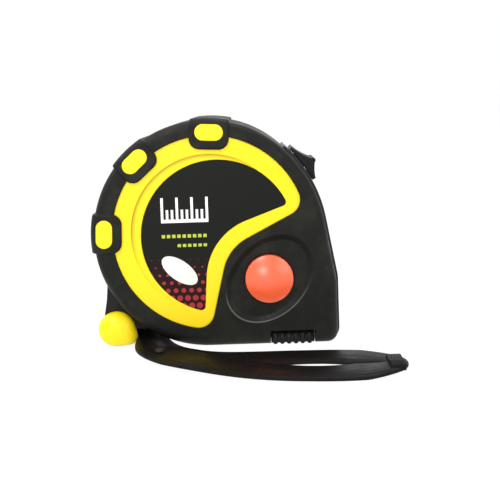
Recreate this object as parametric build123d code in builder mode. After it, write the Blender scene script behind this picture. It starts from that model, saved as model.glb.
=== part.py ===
"""A 3 m tape measure in an upright, rubber-jacketed case.

Frame: millimetres, +Z up. The case stands on its flat base with its label side towards -Y and its mouth
towards +X. The origin is on the base, on the case's mid-plane, half-way along its length.

Side profiles are drawn on Plane.XZ, whose normal is -Y, so a positive extrusion goes to the label side.
"""

import os
from math import atan2, cos, degrees, hypot, pi, radians, sin, sqrt, tan

from build123d import *

os.makedirs("parts", exist_ok=True)

# ------------------------------------------------------------------ driving dimensions
# blade
blade_length = 3000.0
blade_width = 16.0
blade_thick = 0.2
wound_pitch = 0.15
blade_camber = 2.0
blade_first_rise = 0.1
blade_flat_to = 6.0
blade_full_at = 20.0

# case profile: a round back, a flatter brow and an upright nose
case_r = 30.8
drum_x = -1.6
drum_z = case_r
brow_spread = 4.3
brow_start = 50.0
nose_lean = 10.0
nose_reach = 3.9
nose_blend_r = 12.0
corner_r = 3.0
inner_corner_r = 0.4
half_depth = 16.0
rim_round = 2.8

# walls
seat_play = 0.1
jacket_thick = 1.4
shell_wall = 1.6
ring_set_back = 0.4

# yellow ring, label and the bite round the button
ring_offset = (0.8, 0.5)
ring_r = 26.15
step_r = 21.1
step_deep = 0.25
bite_r = 12.5
bite_leans = (27.0, 256.3)
horn_r = 4.4
label_offset = (2.9, -0.6)
label_r = 20.7
label_bite_r = 16.9
label_bite_leans = (20.0, 266.0)
label_tip_r = 1.2
label_thick = 0.3
label_play = 0.05
rear_panel_r = 22.6

# grip claws
claw_count = 3
claw_start = 86.9
claw_pitch = 45.5
claw_width = 10.6
claw_long = 8.5
claw_reach = 0.6
claw_corner_r = 2.8
claw_proud = 0.5
claw_edge_r = 0.45
claw_rim_r = 2.0
oval_long = 7.6
oval_short = 4.4
oval_inset = 3.9
oval_proud = 0.15

# stop button
button_offset = (16.4, -12.5)
button_r = 6.45
button_play = 0.2
button_rise = 1.7
button_travel = 2.0
button_wall = 1.3
button_proud = 0.3
cup_roof = 0.7
flange_r = 7.9
flange_thick = 0.8
stem_r = 1.8
stop_pad_r = 2.4
stop_pad_thick = 1.2
recess_long = 13.5
recess_short = 10.0
recess_deep = 0.9
recess_tilt = 45.0
recess_slope = 1.6

# button guide plate and its posts
guide_lift = 0.9
guide_thick = 0.8
guide_hole_r = 2.8
guide_post_reach = 9.8
guide_post_r = 1.1
guide_end_r = 2.4
guide_waist_r = 4.9

# compression springs
button_spring_r = 3.7
button_spring_wire = 0.45
button_spring_turns = 4
lever_spring_r = 1.3
lever_spring_wire = 0.35
lever_spring_turns = 5

# drum, wound blade and centre post
post_r = 3.0
running_fit = 0.05
drum_r = 22.4
drum_rim = 1.2
drum_web = 1.0
drum_hub_r = 5.0
drum_hub_deep = 1.6
drum_side_play = 0.2
spring_turns = 7
spring_thick = 0.5
spring_width = 12.4
spring_start_r = 4.2
spring_tab = 2.4
post_slot = 0.9
socket_wall = 1.4
end_play = 0.3
post_short = 0.6

# nose band: lock track and mouth
band_half = 9.8
band_top = 47.0
band_foot_deep = 6.3
band_proud = 0.8
mouth_half = 8.3
mouth_drop = 26.35
mouth_high = 4.05
throat_wall = 1.3
hook_bay_deep = 2.5
hook_bay_step = 0.4

# end hook, rivets and bumper
hook_thick = 0.8
hook_inset = 0.2
hook_long = 8.1
hook_half = 5.6
hook_foot = 0.15
hook_play = 0.9
rivet_r = 1.0
rivet_head_r = 1.7
rivet_head = 0.4
rivet_back = 4.7
rivet_y = 3.0
bumper_half = 6.0
bumper_foot = 0.8
bumper_play = 0.05
bumper_round = 0.4
nail_slot_long = 4.2
nail_slot_wide = 1.6
nail_slot_z = 2.6
hook_corner_r = 1.2

# thumb lock, turned about the brow's centre
lock_start = 26.6
lock_end = 43.7
lock_half = 6.2
lock_play = 0.15
lock_skirt = 1.0
lock_ridge_high = 3.75
lock_ridge_at = 33.6
lock_ridge_back = 80.0
lock_ridge_sweep = 170.0
lock_ridge_tip = 0.7
lock_front_at = 30.6
lock_front_high = 2.15
lock_saddle_at = 39.5
lock_saddle_high = 1.45
lock_edge_r = 0.6
lock_slot_play = 0.6
lock_travel = 11.0
lock_neck_half = 1.8
lock_neck_start = 33.0
lock_neck_end = 40.0
arm_gap = 3.7
arm_thick = 1.1
arm_half = 4.0
arm_foot = -25.5
shoe_foot = -32.0

# brake lever in the base
lever_start = 15.0
lever_clear = 0.7
lever_half = 15.6
lever_foot = 0.12
lever_top = 3.1
lever_gap = 0.3
lever_neck_foot = 2.6
lever_neck_top = 3.9
neck_relief = 2.3
lever_rib_count = 6
lever_rib_r = 0.7
lever_rib_proud = 0.45
lever_bay_top = 4.0
lever_neck_half = 8.0
pin_x = 11.4
pin_z = 3.8
pin_r = 0.7
pin_eye_r = 1.2
pin_reach = 11.0
ear_start = 8.5
ear_wide = 3.4
ear_top = 5.4
brake_shoe_half = 6.0
brake_shoe_start = 18.6
brake_shoe_end = 24.2
brake_shoe_thick = 1.2
lever_spring_at = (21.2, 10.6)
lever_shelf_z = 8.2
lever_shelf_thick = 1.2
lever_shelf_half = 2.2

# case screws
screw_inset = 3.4
screw_angles = (109.6, 203.0, 255.0)
nose_screw_in = 5.1
nose_screw_z = 18.4
screw_r = 0.85
screw_play = 0.1
screw_head_r = 1.8
screw_head = 1.2
screw_sunk = 0.8
screw_reach = 9.0
screw_drive = 0.45
boss_r = 1.7

# belt clip
clip_wide = 14.0
clip_thick = 0.9
clip_top_margin = 4.0
clip_shoulder = 38.5
clip_foot = 12.5
clip_stand = 5.6
clip_bend_r = 2.2
clip_screw_rise = 4.5
clip_screw_r = 1.3
clip_head_r = 2.8
clip_head = 1.1
clip_screw_reach = 6.0
clip_boss_r = 2.6
clip_lip = 3.4
clip_drop = 3.2
clip_near = 1.6

# strap lug
pin_cap_at = (-26.7, 5.1)
cheek_inner = 7.6
cheek_outer = 12.0
cheek_r = 4.6
lug_root_top = (-29.4, 19.0)
lug_shoulder = (-29.9, 13.0)
lug_root_foot = (-14.4, 4.2)
lug_web_foot = 11.0
strap_pin_r = 1.2
cap_r = 4.9
cap_point = (-21.2, 1.0)
cap_point_r = 0.8
cap_deep = 3.8
cap_round = 2.6
cap_socket = 1.4

# strap: a flat band 11.5 mm wide, kept here as a plain round cord along its route
strap_cord_r = 0.75
strap_route = [
    (-24.5, -1.6, 4.35),
    (-21.6, -3.6, 3.0),
    (-18.9, -6.5, 2.1),
    (-17.3, -11.6, 1.9),
    (-17.8, -17.6, 1.9),
    (-16.6, -23.4, 1.9),
    (-11.6, -29.8, 1.9),
    (-3.6, -34.6, 1.3),
    (6.0, -38.2, 0.8),
    (17.0, -40.6, 0.8),
    (29.0, -41.2, 0.8),
    (39.6, -39.6, 0.8),
    (45.4, -37.6, 0.8),
    (48.6, -35.6, 0.8),
    (48.7, -32.9, 0.8),
    (45.0, -31.4, 0.8),
    (38.4, -30.2, 0.8),
    (29.0, -29.2, 0.8),
    (19.0, -29.1, 0.8),
    (9.0, -29.7, 0.8),
    (-0.5, -28.4, 0.8),
    (-7.6, -24.6, 0.8),
    (-12.0, -19.0, 0.8),
    (-13.9, -12.6, 0.8),
    (-16.0, -6.6, 1.0),
    (-19.9, -1.5, 2.2),
    (-24.5, 2.2, 4.35),
]
strap_rivet_at = (-14.3, -26.2)
strap_rivet_r = 1.1
strap_rivet_high = 0.5
strap_bend = 0.45

# ------------------------------------------------------------------ worked out from the above
mid = Plane.XZ
drum_at = (drum_x, drum_z)
brow_r = case_r + brow_spread
nose_x = drum_x + case_r + nose_reach
brow_at = (
    drum_x + (case_r - brow_r) * cos(radians(brow_start)),
    drum_z + (case_r - brow_r) * sin(radians(brow_start)),
)
nose_at = (
    nose_x - nose_blend_r,
    (
        (brow_at[0] - nose_x + nose_blend_r) * cos(radians(nose_lean))
        + brow_at[1] * sin(radians(nose_lean))
        + brow_r
        - nose_blend_r
    )
    / sin(radians(nose_lean)),
)
shell_face = half_depth - jacket_thick
ring_face = half_depth - ring_set_back
cavity_inset = jacket_thick + shell_wall
cavity_face = shell_face - shell_wall
label_floor = ring_face - step_deep - label_thick
oval_face = half_depth + claw_proud + oval_proud
button_at = (drum_x + button_offset[0], drum_z + button_offset[1])
ring_at = (drum_x + ring_offset[0], drum_z + ring_offset[1])
claw_outer_r = case_r + claw_reach
claw_inner_r = claw_outer_r - claw_long
oval_r = claw_outer_r - oval_inset
label_at = (drum_x + label_offset[0], drum_z + label_offset[1])
coil_r = sqrt(drum_r**2 + blade_length * wound_pitch / pi)
drum_half = blade_width / 2 + drum_side_play
blade_low = drum_z - coil_r - blade_thick - blade_first_rise - running_fit
mouth_floor = drum_z - mouth_drop
mouth_roof = mouth_floor + mouth_high
hook_bay_x = nose_x - hook_bay_deep
hook_bay_roof = mouth_roof + hook_bay_step
hook_face_x = nose_x - hook_inset
hook_tail_x = hook_face_x - hook_long
rivet_x = hook_face_x - rivet_back
band_foot_x = nose_x - band_foot_deep
lever_end = band_foot_x - lever_clear
blade_end = hook_face_x - hook_thick - seat_play
camber_r = (blade_width**2 / 4 + blade_camber**2) / (2 * blade_camber)
hook_low = blade_low + blade_thick + running_fit
screw_ring_r = case_r - screw_inset
screw_points = [
    (drum_x + screw_ring_r * cos(radians(a)), drum_z + screw_ring_r * sin(radians(a)))
    for a in screw_angles
] + [(nose_x - nose_screw_in, nose_screw_z)]
guide_turn = 90 + degrees(atan2(button_offset[1], button_offset[0]))
post_step = (guide_post_reach * cos(radians(guide_turn)), guide_post_reach * sin(radians(guide_turn)))
guide_posts = [
    (button_at[0] - post_step[0], button_at[1] - post_step[1]),
    (button_at[0] + post_step[0], button_at[1] + post_step[1]),
]
flange_face = cavity_face - seat_play
pad_face = drum_half + seat_play + button_travel
guide_face = drum_half + guide_lift
button_shoulder = half_depth + button_proud
cup_ceiling = button_shoulder - cup_roof
lock_pad_r = brow_r + band_proud + lock_play
lock_ridge_r = lock_pad_r + lock_ridge_high
arm_outer_r = brow_r - arm_gap
arm_inner_r = arm_outer_r - arm_thick
socket_r = post_r + running_fit + socket_wall
socket_face = drum_half + end_play
post_tip = cavity_face - post_short
screw_seat = half_depth - screw_sunk - screw_head
clip_screw_z = clip_shoulder + clip_screw_rise
clip_top = clip_screw_z + clip_top_margin
clip_screw_at = (drum_x, clip_screw_z)


# ------------------------------------------------------------------ shared profiles
# Each function returns a sketch that lies `at` in front of the mid-plane (behind it where `at` is negative).
def case_outline(inset, at=0.0):
    """The case's side profile, moved inwards by inset."""
    toe_r = max(corner_r - inset, inner_corner_r)
    with BuildSketch(mid.offset(at)) as side:
        with BuildLine():
            back = CenterArc(drum_at, case_r - inset, brow_start, 270 - brow_start)
            brow = CenterArc(brow_at, brow_r - inset, nose_lean, brow_start - nose_lean)
            cheek = CenterArc(nose_at, nose_blend_r - inset, 0, nose_lean)
            toe = CenterArc((nose_x - inset - toe_r, inset + toe_r), toe_r, -90, 90)
            Line(back @ 1, toe @ 0)
            Line(toe @ 1, cheek @ 0)
            Line(cheek @ 1, brow @ 0)
        make_face()
    return side.sketch


def brow_point(angle, radius):
    """A point seen from the brow's centre."""
    return (brow_at[0] + radius * cos(radians(angle)), brow_at[1] + radius * sin(radians(angle)))


def brow_band(inner, outer, start, end, at=0.0):
    """A strip that follows the brow between two radii and two angles."""
    reach = 2 * outer
    with BuildSketch(mid.offset(at)) as strip:
        with Locations(brow_at):
            Circle(outer)
            Circle(inner, mode=Mode.SUBTRACT)
        with BuildLine():
            middle = brow_point((start + end) / 2, reach)
            Polyline(brow_at, brow_point(start, reach), middle, brow_point(end, reach), close=True)
        make_face(mode=Mode.INTERSECT)
    return strip.sketch


def claw_spots(radius):
    """Places round the rim, one for each grip claw, with x pointing outwards."""
    turn = claw_pitch * (claw_count - 1)
    spots = PolarLocations(radius, claw_count, start_angle=claw_start, angular_range=turn, endpoint=True)
    return [Location((drum_x, drum_z, 0)) * spot for spot in spots.local_locations]


def claw_pads(at=0.0):
    """The claws' footprints: rounded towards the label, and following the rim outside."""
    with BuildSketch(mid.offset(at)) as pads:
        with Locations(claw_spots((claw_inner_r + claw_outer_r) / 2)):
            RectangleRounded(claw_outer_r - claw_inner_r, claw_width, claw_corner_r)
        with Locations(claw_spots(claw_outer_r - claw_corner_r / 2)):
            Rectangle(claw_corner_r, claw_width)
        with Locations(drum_at):
            Circle(claw_outer_r, mode=Mode.INTERSECT)
    return pads.sketch


def claw_ovals(at):
    """The yellow ovals set into the claws."""
    with BuildSketch(mid.offset(at)) as ovals:
        with Locations(claw_spots(oval_r)):
            SlotOverall(oval_long, oval_short, rotation=90)
    return ovals.sketch


def bitten_disc(centre, radius, bite, leans, tip_r, at):
    """A disc with a bite about the stop button that runs off straight at each end; its tips are rounded."""
    reach = 4 * radius
    heel = [
        (button_at[0] + bite * cos(radians(lean + side)), button_at[1] + bite * sin(radians(lean + side)))
        for lean, side in zip(leans, (90, -90))
    ]
    far = [
        (x + reach * cos(radians(lean)), y + reach * sin(radians(lean)))
        for (x, y), lean in zip(heel, leans)
    ]
    with BuildSketch(mid.offset(at)) as disc:
        with Locations(centre):
            Circle(radius)
        with Locations(button_at):
            Circle(bite, mode=Mode.SUBTRACT)
        with BuildLine():
            Polyline(button_at, heel[0], far[0], (far[0][0], far[1][1]), far[1], heel[1], close=True)
        make_face(mode=Mode.SUBTRACT)
        tips = [v for v in disc.vertices() if abs(hypot(v.X - centre[0], v.Y - centre[1]) - radius) < 0.01]
        fillet(tips, tip_r)
    return disc.sketch


def discs(points, radius, at):
    """Discs of one radius at several points."""
    with BuildSketch(mid.offset(at)) as spots:
        with Locations(points):
            Circle(radius)
    return spots.sketch


def nose_wedge():
    """Everything forward of the line where the nose band meets the case halves."""
    with BuildSketch(mid) as wedge:
        with BuildLine():
            Polyline(
                brow_at,
                (band_foot_x, cavity_inset),
                (band_foot_x, -case_r),
                (3 * nose_x, -case_r),
                brow_point(band_top, 3 * brow_r),
                close=True,
            )
        make_face()
    return wedge.sketch


def dome(radius, edge, rise):
    """The arc of a domed cap's half section, from its edge in to the axis; the cap faces -Y."""
    ball = (radius**2 + rise**2) / (2 * rise)
    crown = ball - rise
    half_way = (radius / 2, crown - edge - sqrt(ball**2 - radius**2 / 4))
    return ThreePointArc((radius, -edge), half_way, (0, -edge - rise))


def camber(half_width):
    """How far the cambered blade has risen at this distance from its middle."""
    return camber_r - sqrt(camber_r**2 - half_width**2)


def block(x_range, y_range, z_range):
    """A box between three pairs of limits."""
    low = (x_range[0], y_range[0], z_range[0])
    size = (x_range[1] - x_range[0], y_range[1] - y_range[0], z_range[1] - z_range[0])
    return Location(low) * Solid.make_box(*size)


def blade_section(x, low, width, thick, rise):
    """A cross-section along the blade: a thin band whose edges stand higher than its middle."""
    with BuildSketch(Plane((x, 0, low), x_dir=(0, 1, 0), z_dir=(1, 0, 0))) as section:
        with BuildLine():
            under = ThreePointArc((-width / 2, rise), (0, 0), (width / 2, rise))
            over = ThreePointArc((-width / 2, rise + thick), (0, thick), (width / 2, rise + thick))
            Line(under @ 0, over @ 0)
            Line(under @ 1, over @ 1)
        make_face()
    return section.sketch


def round_spring(radius, wire, turns, start, toward, length):
    """A compression spring of round wire; its ends' wire touches both seats."""
    direction = Vector(*toward)
    foot = Vector(*start) + direction * (wire / 2)
    rise = length - wire
    with BuildPart() as spring:
        with BuildLine() as path:
            Helix(pitch=rise / turns, height=rise, radius=radius, center=foot, direction=direction)
        with BuildSketch(Plane(origin=path.line @ 0, z_dir=path.line % 0)):
            Circle(wire / 2)
        sweep(is_frenet=True)
    return spring.part


# ------------------------------------------------------------------ the case halves
# Both halves start as a solid block, which is hollowed later, and a rubber skin over it.
with BuildPart() as shell_block:
    extrude(case_outline(jacket_thick), amount=shell_face)
    fillet(shell_block.faces().sort_by(Axis.Y)[0].edges(), rim_round - jacket_thick)

with BuildPart() as claws:
    extrude(claw_pads(), amount=half_depth + claw_proud)
    rims = claws.faces().group_by(Axis.Y)[0].edges()
    outer_rims = rims.filter_by(GeomType.CIRCLE).filter_by(lambda rim: rim.radius > claw_width)
    fillet(outer_rims, claw_rim_r)
    fillet(claws.faces().group_by(Axis.Y)[0].edges(), claw_edge_r)

with BuildPart() as skin_block:
    extrude(case_outline(0), amount=half_depth)
    fillet(skin_block.faces().sort_by(Axis.Y)[0].edges(), rim_round)

# the strap lug: a cheek on each jacket, with a solid web between them above the strap
with BuildPart() as cheek:
    with BuildSketch(mid.offset(cheek_inner)) as cheek_side:
        with BuildLine():
            Polyline(
                drum_at,
                lug_root_top,
                lug_shoulder,
                (pin_cap_at[0] - cheek_r, pin_cap_at[1]),
                pin_cap_at,
                lug_root_foot,
                close=True,
            )
        make_face()
        with Locations(pin_cap_at):
            Circle(cheek_r)
    extrude(amount=cheek_outer - cheek_inner)
    with BuildSketch(mid) as web_side:
        with BuildLine():
            Polyline(
                drum_at,
                lug_root_top,
                lug_shoulder,
                (pin_cap_at[0] - cheek_r, pin_cap_at[1]),
                (pin_cap_at[0] - cheek_r, -case_r),
                (0, -case_r),
                close=True,
            )
        make_face()
        with Locations((pin_cap_at[0], lug_web_foot - 2 * case_r)):
            Rectangle(4 * case_r, 4 * case_r, mode=Mode.SUBTRACT)
    extrude(amount=cheek_inner)

# the strip along the brow, nose and toe that the nose band fills
with BuildPart() as band_space:
    extrude(case_outline(-2 * band_proud), amount=band_half)
    extrude(case_outline(cavity_inset), amount=band_half, mode=Mode.SUBTRACT)
    extrude(nose_wedge(), amount=band_half, mode=Mode.INTERSECT)

# the bay for the brake lever, open through the base and through both side walls, and the relief for its neck
lever_bay = block((lever_start - lever_gap, band_foot_x), (-2 * half_depth, 0), (-case_r, lever_bay_top))
neck_space = block(
    (pin_x - pin_eye_r - lever_gap, lever_start),
    (-lever_neck_half - lever_gap, 0),
    (neck_relief, lever_bay_top),
)

with BuildPart() as cavity:
    extrude(case_outline(cavity_inset), amount=cavity_face)

# the shelf in each half that the lever's spring pushes against, and the ear that holds the lever's pin
lever_shelf = block(
    (lever_spring_at[0] - lever_shelf_half, lever_spring_at[0] + lever_shelf_half),
    (-cavity_face, lever_shelf_half - lever_spring_at[1]),
    (lever_shelf_z, lever_shelf_z + lever_shelf_thick),
)
pin_ear = block(
    (pin_x - ear_wide / 2, pin_x + ear_wide / 2),
    (-pin_reach - shell_wall, -ear_start),
    (jacket_thick, ear_top),
)

# the finger's dished recess round the button
with BuildPart() as dish:
    for depth in (-recess_deep, recess_deep):
        with BuildSketch(mid.offset(half_depth + depth)):
            with Locations(Location((*button_at, 0), recess_tilt)):
                Ellipse(recess_long + recess_slope * depth, recess_short + recess_slope * depth)
    loft()

# ---- front jacket: rubber over the front shell, with a dished recess for the finger round the button
with BuildPart() as front_jacket:
    add(skin_block.part)
    add(cheek.part)
    ring_hole = bitten_disc(ring_at, ring_r, bite_r, bite_leans, horn_r, 0)
    extrude(ring_hole, amount=half_depth, mode=Mode.SUBTRACT)
    add(claws.part)
    add(shell_block.part, mode=Mode.SUBTRACT)
    add(band_space.part, mode=Mode.SUBTRACT)
    add(lever_bay, mode=Mode.SUBTRACT)
    add(neck_space, mode=Mode.SUBTRACT)
    extrude(claw_ovals(shell_face), amount=half_depth, mode=Mode.SUBTRACT)
    add(dish.part, mode=Mode.SUBTRACT)
    extrude(discs([button_at], button_r + button_play, 0), amount=2 * half_depth, mode=Mode.SUBTRACT)
    extrude(discs([pin_cap_at], strap_pin_r, 0), amount=half_depth, mode=Mode.SUBTRACT)
front_jacket.part.label = "front_jacket"
export_step(front_jacket.part, "parts/front_jacket.step")

# ---- front shell: hard yellow plastic, with the ring and the ovals standing up through the rubber
with BuildPart() as front_shell:
    add(shell_block.part)
    ring = bitten_disc(ring_at, ring_r, bite_r, bite_leans, horn_r, shell_face)
    extrude(ring, amount=ring_face - shell_face)
    extrude(claw_pads(shell_face), amount=jacket_thick, mode=Mode.SUBTRACT)
    step = bitten_disc(ring_at, step_r, label_bite_r, label_bite_leans, label_tip_r, ring_face - step_deep)
    extrude(step, amount=jacket_thick, mode=Mode.SUBTRACT)
    pocket = bitten_disc(label_at, label_r, label_bite_r, label_bite_leans, label_tip_r, label_floor)
    extrude(pocket, amount=jacket_thick, mode=Mode.SUBTRACT)
    extrude(claw_ovals(shell_face), amount=oval_face - shell_face)
    add(cavity.part, mode=Mode.SUBTRACT)
    extrude(discs(screw_points, boss_r, 0), amount=cavity_face)
    extrude(discs([drum_at], socket_r, socket_face), amount=cavity_face - socket_face)
    guide_back = guide_face + guide_thick
    extrude(discs(guide_posts, guide_post_r, guide_back), amount=cavity_face - guide_back)
    add(lever_shelf)
    add(pin_ear)
    extrude(discs(screw_points, screw_r, 0), amount=screw_reach, mode=Mode.SUBTRACT)
    extrude(discs([drum_at], post_r + running_fit, 0), amount=cavity_face, mode=Mode.SUBTRACT)
    extrude(discs([button_at], button_r + button_play, cavity_face), amount=half_depth, mode=Mode.SUBTRACT)
    extrude(discs([(pin_x, pin_z)], pin_r, 0), amount=pin_reach, mode=Mode.SUBTRACT)
    add(band_space.part, mode=Mode.SUBTRACT)
    add(lever_bay, mode=Mode.SUBTRACT)
    add(neck_space, mode=Mode.SUBTRACT)
front_shell.part.label = "front_shell"
export_step(front_shell.part, "parts/front_shell.step")

# ---- front label: printed film laid in its pocket
with BuildPart() as front_label:
    film_bite = label_bite_r + label_play
    film = bitten_disc(label_at, label_r - label_play, film_bite, label_bite_leans, label_tip_r, label_floor)
    extrude(film, amount=label_thick)
front_label.part.label = "front_label"
export_step(front_label.part, "parts/front_label.step")

# ---- rear jacket: the same skin the other way round, with a plain round opening and holes for the screws
with BuildPart() as rear_jacket:
    add(mirror(skin_block.part, about=mid))
    add(mirror(cheek.part, about=mid))
    add(mirror(claws.part, about=mid))
    add(mirror(shell_block.part, about=mid), mode=Mode.SUBTRACT)
    add(mirror(band_space.part, about=mid), mode=Mode.SUBTRACT)
    add(mirror(lever_bay, about=mid), mode=Mode.SUBTRACT)
    add(mirror(neck_space, about=mid), mode=Mode.SUBTRACT)
    extrude(discs([drum_at], rear_panel_r, -shell_face), amount=-half_depth, mode=Mode.SUBTRACT)
    extrude(claw_ovals(-shell_face), amount=-half_depth, mode=Mode.SUBTRACT)
    head_wells = discs(screw_points, screw_head_r + screw_play, -screw_seat)
    extrude(head_wells, amount=-half_depth, mode=Mode.SUBTRACT)
    extrude(discs([pin_cap_at], strap_pin_r, 0), amount=-half_depth, mode=Mode.SUBTRACT)
rear_jacket.part.label = "rear_jacket"
export_step(rear_jacket.part, "parts/rear_jacket.step")

# ---- rear shell: with the round panel, the centre post and the bosses
with BuildPart() as rear_shell:
    add(mirror(shell_block.part, about=mid))
    extrude(discs([drum_at], rear_panel_r, -shell_face), amount=shell_face - ring_face)
    extrude(claw_ovals(-shell_face), amount=shell_face - oval_face)
    add(mirror(cavity.part, about=mid), mode=Mode.SUBTRACT)
    extrude(discs(screw_points, boss_r, 0), amount=-cavity_face)
    extrude(discs([drum_at], socket_r, -socket_face), amount=socket_face - cavity_face)
    extrude(discs([drum_at], post_r, post_tip), amount=-post_tip - cavity_face)
    clip_boss = discs([clip_screw_at], clip_boss_r, clip_screw_reach - ring_face)
    extrude(clip_boss, amount=ring_face - clip_screw_reach - cavity_face)
    add(mirror(lever_shelf, about=mid))
    add(mirror(pin_ear, about=mid))
    add(
        block(
            (drum_x - post_slot / 2, drum_x + post_slot / 2),
            (-half_depth, spring_width / 2 + seat_play),
            (drum_z - post_r, drum_z + post_r),
        ),
        mode=Mode.SUBTRACT,
    )
    extrude(discs(screw_points, screw_r + screw_play, 0), amount=-2 * half_depth, mode=Mode.SUBTRACT)
    head_wells = discs(screw_points, screw_head_r + screw_play, -screw_seat)
    extrude(head_wells, amount=-half_depth, mode=Mode.SUBTRACT)
    clip_bore = discs([clip_screw_at], clip_screw_r, clip_screw_reach - ring_face)
    extrude(clip_bore, amount=-half_depth, mode=Mode.SUBTRACT)
    extrude(discs([(pin_x, pin_z)], pin_r, 0), amount=-pin_reach, mode=Mode.SUBTRACT)
    add(mirror(band_space.part, about=mid), mode=Mode.SUBTRACT)
    add(mirror(lever_bay, about=mid), mode=Mode.SUBTRACT)
    add(mirror(neck_space, about=mid), mode=Mode.SUBTRACT)
rear_shell.part.label = "rear_shell"
export_step(rear_shell.part, "parts/rear_shell.step")

# ---- case screws: pan heads sunk into the back, shanks into the front shell's bosses
with BuildPart() as case_screws:
    extrude(discs(screw_points, screw_head_r, -screw_seat), amount=-screw_head)
    extrude(discs(screw_points, screw_r, screw_reach), amount=-screw_reach - screw_seat)
    with BuildSketch(mid.offset(-screw_seat - screw_head)) as drive:
        with Locations(screw_points):
            Rectangle(2 * screw_r, screw_drive)
            Rectangle(screw_drive, 2 * screw_r)
    extrude(drive.sketch, amount=screw_drive, mode=Mode.SUBTRACT)
case_screws.part.label = "case_screws"
export_step(case_screws.part, "parts/case_screws.step")

# ---- nose band: one hard black strip clamped between the halves, with the lock's slot and the blade's mouth
with BuildPart() as nose_band:
    extrude(case_outline(-band_proud), amount=band_half, both=True)
    extrude(case_outline(cavity_inset), amount=band_half, both=True, mode=Mode.SUBTRACT)
    extrude(nose_wedge(), amount=band_half, both=True, mode=Mode.INTERSECT)
    add(
        block(
            (band_foot_x, nose_x - cavity_inset + seat_play),
            (-band_half, band_half),
            (cavity_inset, mouth_roof + throat_wall),
        )
    )
    add(block((0, 2 * nose_x), (-half_depth, half_depth), (-case_r, seat_play / 2)), mode=Mode.SUBTRACT)
    add(
        block((0, hook_bay_x), (-mouth_half, mouth_half), (mouth_floor, mouth_roof)),
        mode=Mode.SUBTRACT,
    )
    add(
        block((hook_bay_x, 2 * nose_x), (-mouth_half, mouth_half), (-case_r, hook_bay_roof)),
        mode=Mode.SUBTRACT,
    )
    slot_start = lock_neck_start - lock_travel - lock_slot_play
    slot = brow_band(arm_inner_r, 2 * brow_r, slot_start, lock_neck_end + lock_slot_play)
    extrude(slot, amount=lock_neck_half + lock_play, both=True, mode=Mode.SUBTRACT)
nose_band.part.label = "nose_band"
export_step(nose_band.part, "parts/nose_band.step")

# ---- mouth bumper: soft block under the mouth that the hook lands on
with BuildPart() as mouth_bumper:
    add(
        block(
            (hook_bay_x, hook_face_x - hook_thick - bumper_play),
            (-bumper_half, bumper_half),
            (bumper_foot, mouth_floor),
        )
    )
    fillet(mouth_bumper.faces().sort_by(Axis.X)[-1].edges(), bumper_round)
mouth_bumper.part.label = "mouth_bumper"
export_step(mouth_bumper.part, "parts/mouth_bumper.step")

# ---- thumb lock: a pad with a raised ridge on the brow, its neck down through the band's slot
with BuildPart() as thumb_lock:
    with BuildSketch(mid) as pad_side:
        with BuildLine():
            sole = CenterArc(brow_at, lock_pad_r, lock_start, lock_end - lock_start)
            ridge_at = brow_point(lock_ridge_at, lock_ridge_r - lock_ridge_tip)
            ridge = CenterArc(ridge_at, lock_ridge_tip, lock_ridge_at - lock_ridge_back, lock_ridge_sweep)
            front_foot = brow_point(lock_start, lock_pad_r + lock_skirt)
            back_foot = brow_point(lock_end, lock_pad_r + lock_skirt)
            front_dip = brow_point(lock_front_at, lock_pad_r + lock_front_high)
            saddle_dip = brow_point(lock_saddle_at, lock_pad_r + lock_saddle_high)
            ThreePointArc(front_foot, front_dip, ridge @ 0)
            ThreePointArc(ridge @ 1, saddle_dip, back_foot)
            Line(front_foot, sole @ 0)
            Line(back_foot, sole @ 1)
        make_face()
    extrude(amount=lock_half, both=True)
    rims = thumb_lock.faces().filter_by(Axis.Y).edges().filter_by(GeomType.CIRCLE)
    fillet(rims.sort_by(SortBy.LENGTH)[4:6], lock_edge_r)
    neck = brow_band(arm_outer_r, lock_pad_r + lock_skirt / 2, lock_neck_start, lock_neck_end)
    extrude(neck, amount=lock_neck_half, both=True)
thumb_lock.part.label = "thumb_lock"
export_step(thumb_lock.part, "parts/thumb_lock.step")

# ---- lock arm: curved plastic tongue on the lock's neck, running down inside the nose, with a rubber shoe
with BuildPart() as lock_arm:
    extrude(brow_band(arm_inner_r, arm_outer_r, arm_foot, lock_neck_end), amount=arm_half, both=True)
lock_arm.part.label = "lock_arm"
export_step(lock_arm.part, "parts/lock_arm.step")

with BuildPart() as lock_shoe:
    extrude(brow_band(arm_inner_r, arm_outer_r, shoe_foot, arm_foot), amount=arm_half, both=True)
lock_shoe.part.label = "lock_shoe"
export_step(lock_shoe.part, "parts/lock_shoe.step")

# ---- stop button: domed cap, a cup inside, with a flange that holds it in and a stem for the stop pad
with BuildPart() as stop_button:
    with BuildSketch(Plane.XY) as half_section:
        with BuildLine():
            Polyline(
                (0, -button_shoulder - button_rise),
                (0, -pad_face - stop_pad_thick),
                (stem_r, -pad_face - stop_pad_thick),
                (stem_r, -cup_ceiling),
                (button_r - button_wall, -cup_ceiling),
                (button_r - button_wall, flange_thick - flange_face),
                (flange_r, flange_thick - flange_face),
                (flange_r, -flange_face),
                (button_r, -flange_face),
                (button_r, -button_shoulder),
            )
            dome(button_r, button_shoulder, button_rise)
        make_face()
    revolve(axis=Axis.Y)
stop_button_part = stop_button.part.moved(Location((button_at[0], 0, button_at[1])))
stop_button_part.label = "stop_button"
export_step(stop_button_part, "parts/stop_button.step")

with BuildPart() as stop_pad:
    extrude(discs([button_at], stop_pad_r, pad_face), amount=stop_pad_thick)
stop_pad.part.label = "stop_pad"
export_step(stop_pad.part, "parts/stop_pad.step")

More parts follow.
